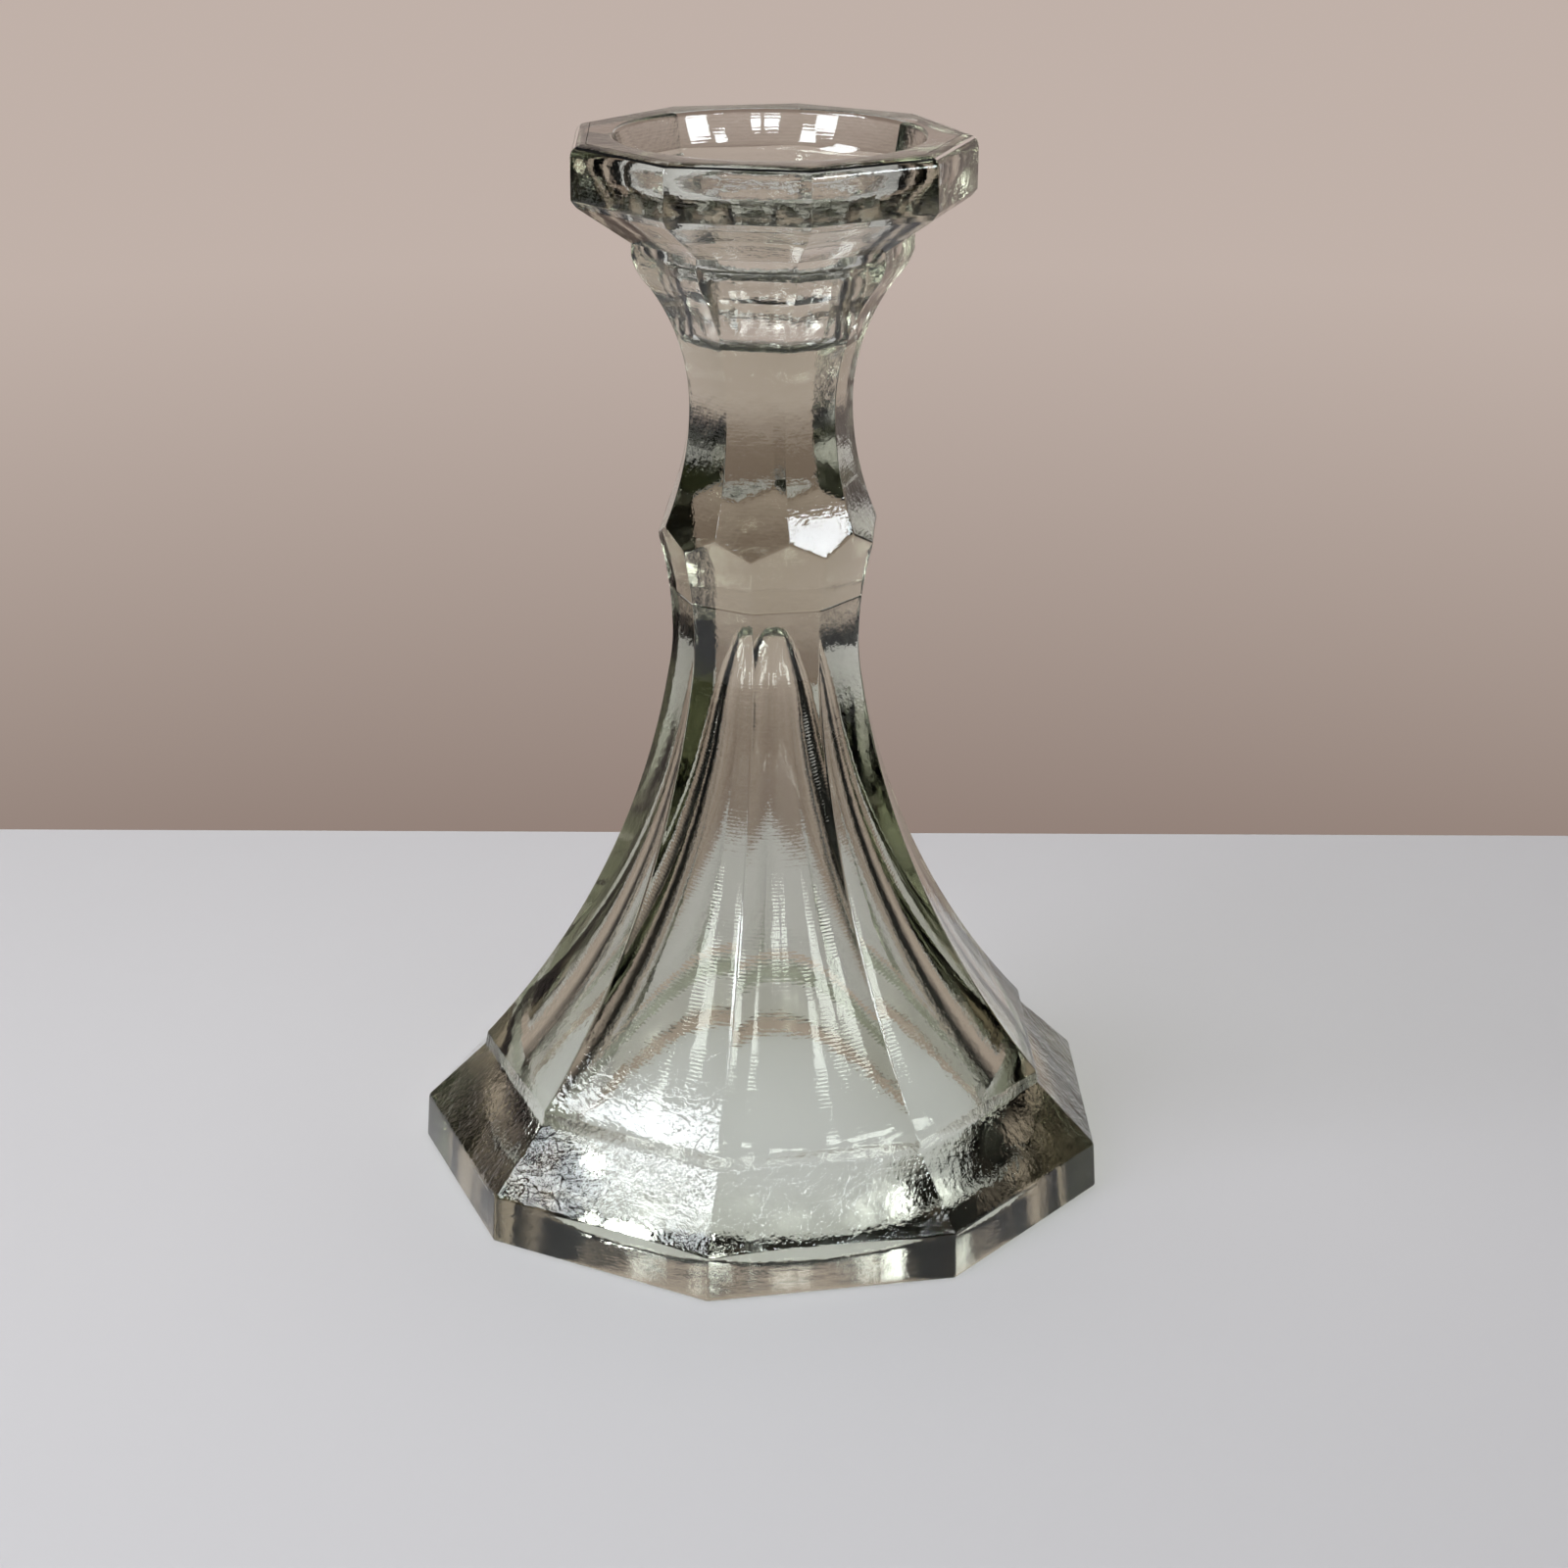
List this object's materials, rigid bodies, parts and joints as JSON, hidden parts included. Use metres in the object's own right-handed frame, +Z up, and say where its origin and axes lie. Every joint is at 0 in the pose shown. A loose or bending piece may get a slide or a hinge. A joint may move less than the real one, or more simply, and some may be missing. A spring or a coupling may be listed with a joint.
{
  "type": "glass candlestick",
  "caption": "Nine-sided smoked pressed-glass candlestick: a wide rim and bowl over a candle socket, a waisted stem, a knop and a flared hollow bell foot.",
  "frame": {"origin": "centre of the ring that the foot stands on, in the plane of the table", "axes": "+Z up along the candle's axis; the bell foot has a corner on -Y and a facet on +Y, the cup a facet on -Y"},
  "size_m": [0.1172, 0.1154, 0.175],
  "materials": {
    "smoked_glass": "fire-polished, slightly wavy pressed glass, smoky grey with a green cast"
  },
  "bodies": {
    "root": {"bell_foot": "smoked_glass", "cup_and_stem": "smoked_glass"}
  },
  "joints": []
}
